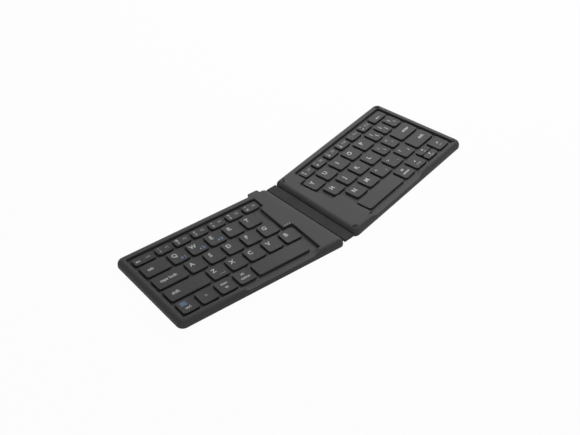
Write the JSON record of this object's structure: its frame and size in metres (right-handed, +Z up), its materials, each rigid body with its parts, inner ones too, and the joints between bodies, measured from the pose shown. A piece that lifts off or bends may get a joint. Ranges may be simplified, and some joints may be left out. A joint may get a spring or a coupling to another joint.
{
  "type": "folding keyboard",
  "caption": "Slim wireless keyboard that folds shut across the middle: two mirrored sloped halves with sprung low keys, joined by a soft rubber hinge band.",
  "frame": {"origin": "middle of the footprint of the opened keyboard, at the height of the surface that the feet stand on", "axes": "+X to the right across both halves, +Y to the back (number rows), +Z up out of the keys; the hinge runs along Y"},
  "size_m": [0.3322, 0.1124, 0.0086],
  "materials": {
    "key_plastic": "fine matt black",
    "steel_plate": "plain sheet steel",
    "shell_plastic": "fine matt black",
    "membrane_film": "clear amber film",
    "dome_rubber": "soft moulded rubber",
    "link_plastic": "moulded white plastic",
    "circuit_board": "solder mask",
    "port_metal": "stamped steel",
    "light_plastic": "frosted plastic",
    "magnet_metal": "plated",
    "screw_steel": "blackened steel",
    "battery_foil": "foil pouch",
    "cable_film": "amber film",
    "soft_rubber": "soft matt rubber"
  },
  "bodies": {
    "left_half": {"bottom_shell_left": "shell_plastic", "top_shell_left": "shell_plastic", "key_plate_left": "steel_plate", "membrane_left": "membrane_film", "domes_left": "dome_rubber", "scissors_left": "link_plastic", "main_board": "circuit_board", "charging_port": "port_metal", "light_pipes": "light_plastic", "magnets_left": "magnet_metal", "feet_left": "soft_rubber", "screws_left": "screw_steel", "band_flange_left": "soft_rubber"},
    "hinge_spine": {"hinge_band": "soft_rubber", "flex_cable": "cable_film"},
    "right_half": {"bottom_shell_right": "shell_plastic", "top_shell_right": "shell_plastic", "key_plate_right": "steel_plate", "membrane_right": "membrane_film", "domes_right": "dome_rubber", "scissors_right": "link_plastic", "battery": "battery_foil", "link_board": "circuit_board", "magnets_right": "magnet_metal", "feet_right": "soft_rubber", "screws_right": "screw_steel", "band_flange_right": "soft_rubber", "bumpers": "soft_rubber"},
    "key_escape_body": {"key_escape": "key_plastic"},
    "keys_number_left_body": {"keys_number_left": "key_plastic"},
    "key_tab_body": {"key_tab": "key_plastic"},
    "keys_top_left_body": {"keys_top_left": "key_plastic"},
    "key_caps_body": {"key_caps": "key_plastic"},
    "keys_home_left_body": {"keys_home_left": "key_plastic"},
    "key_shift_left_body": {"key_shift_left": "key_plastic"},
    "keys_lower_left_body": {"keys_lower_left": "key_plastic"},
    "key_ctrl_body": {"key_ctrl": "key_plastic"},
    "key_fn_body": {"key_fn": "key_plastic"},
    "key_alt_left_body": {"key_alt_left": "key_plastic"},
    "key_meta_left_body": {"key_meta_left": "key_plastic"},
    "key_space_left_body": {"key_space_left": "key_plastic"},
    "keys_number_right_body": {"keys_number_right": "key_plastic"},
    "key_backspace_body": {"key_backspace": "key_plastic"},
    "keys_top_right_body": {"keys_top_right": "key_plastic"},
    "key_backslash_body": {"key_backslash": "key_plastic"},
    "keys_home_right_body": {"keys_home_right": "key_plastic"},
    "key_enter_body": {"key_enter": "key_plastic"},
    "keys_lower_right_body": {"keys_lower_right": "key_plastic"},
    "key_shift_right_body": {"key_shift_right": "key_plastic"},
    "key_space_right_body": {"key_space_right": "key_plastic"},
    "key_meta_right_body": {"key_meta_right": "key_plastic"},
    "key_arrow_left_body": {"key_arrow_left": "key_plastic"},
    "key_arrow_up_body": {"key_arrow_up": "key_plastic"},
    "key_arrow_down_body": {"key_arrow_down": "key_plastic"},
    "key_arrow_right_body": {"key_arrow_right": "key_plastic"}
  },
  "joints": [
    {"name": "fold_left", "type": "hinge", "parent": "left_half", "child": "hinge_spine", "pos_m": [-0.0044, 0, 0.004], "axis": [0, -1, 0], "range_deg": [0, 90]},
    {"name": "fold_right", "type": "hinge", "parent": "hinge_spine", "child": "right_half", "pos_m": [0.0044, 0, 0.004], "axis": [0, -1, 0], "range_deg": [0, 90]},
    {"name": "key_escape_press", "type": "slide", "parent": "left_half", "child": "key_escape_body", "axis": [0, 0, 1], "range_m": [-0.0014, 0], "stiffness_N_per_m": 100, "deforming": ["domes_left", "scissors_left"]},
    {"name": "keys_number_left_press", "type": "slide", "parent": "left_half", "child": "keys_number_left_body", "axis": [0, 0, 1], "range_m": [-0.0014, 0], "stiffness_N_per_m": 100, "deforming": ["domes_left", "scissors_left"]},
    {"name": "key_tab_press", "type": "slide", "parent": "left_half", "child": "key_tab_body", "axis": [0, 0, 1], "range_m": [-0.0014, 0], "stiffness_N_per_m": 100, "deforming": ["domes_left", "scissors_left"]},
    {"name": "keys_top_left_press", "type": "slide", "parent": "left_half", "child": "keys_top_left_body", "axis": [0, 0, 1], "range_m": [-0.0014, 0], "stiffness_N_per_m": 100, "deforming": ["domes_left", "scissors_left"]},
    {"name": "key_caps_press", "type": "slide", "parent": "left_half", "child": "key_caps_body", "axis": [0, 0, 1], "range_m": [-0.0014, 0], "stiffness_N_per_m": 100, "deforming": ["domes_left", "scissors_left"]},
    {"name": "keys_home_left_press", "type": "slide", "parent": "left_half", "child": "keys_home_left_body", "axis": [0, 0, 1], "range_m": [-0.0014, 0], "stiffness_N_per_m": 100, "deforming": ["domes_left", "scissors_left"]},
    {"name": "key_shift_left_press", "type": "slide", "parent": "left_half", "child": "key_shift_left_body", "axis": [0, 0, 1], "range_m": [-0.0014, 0], "stiffness_N_per_m": 100, "deforming": ["domes_left", "scissors_left"]},
    {"name": "keys_lower_left_press", "type": "slide", "parent": "left_half", "child": "keys_lower_left_body", "axis": [0, 0, 1], "range_m": [-0.0014, 0], "stiffness_N_per_m": 100, "deforming": ["domes_left", "scissors_left"]},
    {"name": "key_ctrl_press", "type": "slide", "parent": "left_half", "child": "key_ctrl_body", "axis": [0, 0, 1], "range_m": [-0.0014, 0], "stiffness_N_per_m": 100, "deforming": ["domes_left", "scissors_left"]},
    {"name": "key_fn_press", "type": "slide", "parent": "left_half", "child": "key_fn_body", "axis": [0, 0, 1], "range_m": [-0.0014, 0], "stiffness_N_per_m": 100, "deforming": ["domes_left", "scissors_left"]},
    {"name": "key_alt_left_press", "type": "slide", "parent": "left_half", "child": "key_alt_left_body", "axis": [0, 0, 1], "range_m": [-0.0014, 0], "stiffness_N_per_m": 100, "deforming": ["domes_left", "scissors_left"]},
    {"name": "key_meta_left_press", "type": "slide", "parent": "left_half", "child": "key_meta_left_body", "axis": [0, 0, 1], "range_m": [-0.0014, 0], "stiffness_N_per_m": 100, "deforming": ["domes_left", "scissors_left"]},
    {"name": "key_space_left_press", "type": "slide", "parent": "left_half", "child": "key_space_left_body", "axis": [0, 0, 1], "range_m": [-0.0014, 0], "stiffness_N_per_m": 100, "deforming": ["domes_left", "scissors_left"]},
    {"name": "keys_number_right_press", "type": "slide", "parent": "right_half", "child": "keys_number_right_body", "axis": [0, 0, 1], "range_m": [-0.0014, 0], "stiffness_N_per_m": 100, "deforming": ["domes_right", "scissors_right"]},
    {"name": "key_backspace_press", "type": "slide", "parent": "right_half", "child": "key_backspace_body", "axis": [0, 0, 1], "range_m": [-0.0014, 0], "stiffness_N_per_m": 100, "deforming": ["domes_right", "scissors_right"]},
    {"name": "keys_top_right_press", "type": "slide", "parent": "right_half", "child": "keys_top_right_body", "axis": [0, 0, 1], "range_m": [-0.0014, 0], "stiffness_N_per_m": 100, "deforming": ["domes_right", "scissors_right"]},
    {"name": "key_backslash_press", "type": "slide", "parent": "right_half", "child": "key_backslash_body", "axis": [0, 0, 1], "range_m": [-0.0014, 0], "stiffness_N_per_m": 100, "deforming": ["domes_right", "scissors_right"]},
    {"name": "keys_home_right_press", "type": "slide", "parent": "right_half", "child": "keys_home_right_body", "axis": [0, 0, 1], "range_m": [-0.0014, 0], "stiffness_N_per_m": 100, "deforming": ["domes_right", "scissors_right"]},
    {"name": "key_enter_press", "type": "slide", "parent": "right_half", "child": "key_enter_body", "axis": [0, 0, 1], "range_m": [-0.0014, 0], "stiffness_N_per_m": 100, "deforming": ["domes_right", "scissors_right"]},
    {"name": "keys_lower_right_press", "type": "slide", "parent": "right_half", "child": "keys_lower_right_body", "axis": [0, 0, 1], "range_m": [-0.0014, 0], "stiffness_N_per_m": 100, "deforming": ["domes_right", "scissors_right"]},
    {"name": "key_shift_right_press", "type": "slide", "parent": "right_half", "child": "key_shift_right_body", "axis": [0, 0, 1], "range_m": [-0.0014, 0], "stiffness_N_per_m": 100, "deforming": ["domes_right", "scissors_right"]},
    {"name": "key_space_right_press", "type": "slide", "parent": "right_half", "child": "key_space_right_body", "axis": [0, 0, 1], "range_m": [-0.0014, 0], "stiffness_N_per_m": 100, "deforming": ["domes_right", "scissors_right"]},
    {"name": "key_meta_right_press", "type": "slide", "parent": "right_half", "child": "key_meta_right_body", "axis": [0, 0, 1], "range_m": [-0.0014, 0], "stiffness_N_per_m": 100, "deforming": ["domes_right", "scissors_right"]},
    {"name": "key_arrow_left_press", "type": "slide", "parent": "right_half", "child": "key_arrow_left_body", "axis": [0, 0, 1], "range_m": [-0.0014, 0], "stiffness_N_per_m": 100, "deforming": ["domes_right", "scissors_right"]},
    {"name": "key_arrow_up_press", "type": "slide", "parent": "right_half", "child": "key_arrow_up_body", "axis": [0, 0, 1], "range_m": [-0.0014, 0], "stiffness_N_per_m": 60, "deforming": ["domes_right", "scissors_right"]},
    {"name": "key_arrow_down_press", "type": "slide", "parent": "right_half", "child": "key_arrow_down_body", "axis": [0, 0, 1], "range_m": [-0.0014, 0], "stiffness_N_per_m": 60, "deforming": ["domes_right", "scissors_right"]},
    {"name": "key_arrow_right_press", "type": "slide", "parent": "right_half", "child": "key_arrow_right_body", "axis": [0, 0, 1], "range_m": [-0.0014, 0], "stiffness_N_per_m": 100, "deforming": ["domes_right", "scissors_right"]}
  ]
}
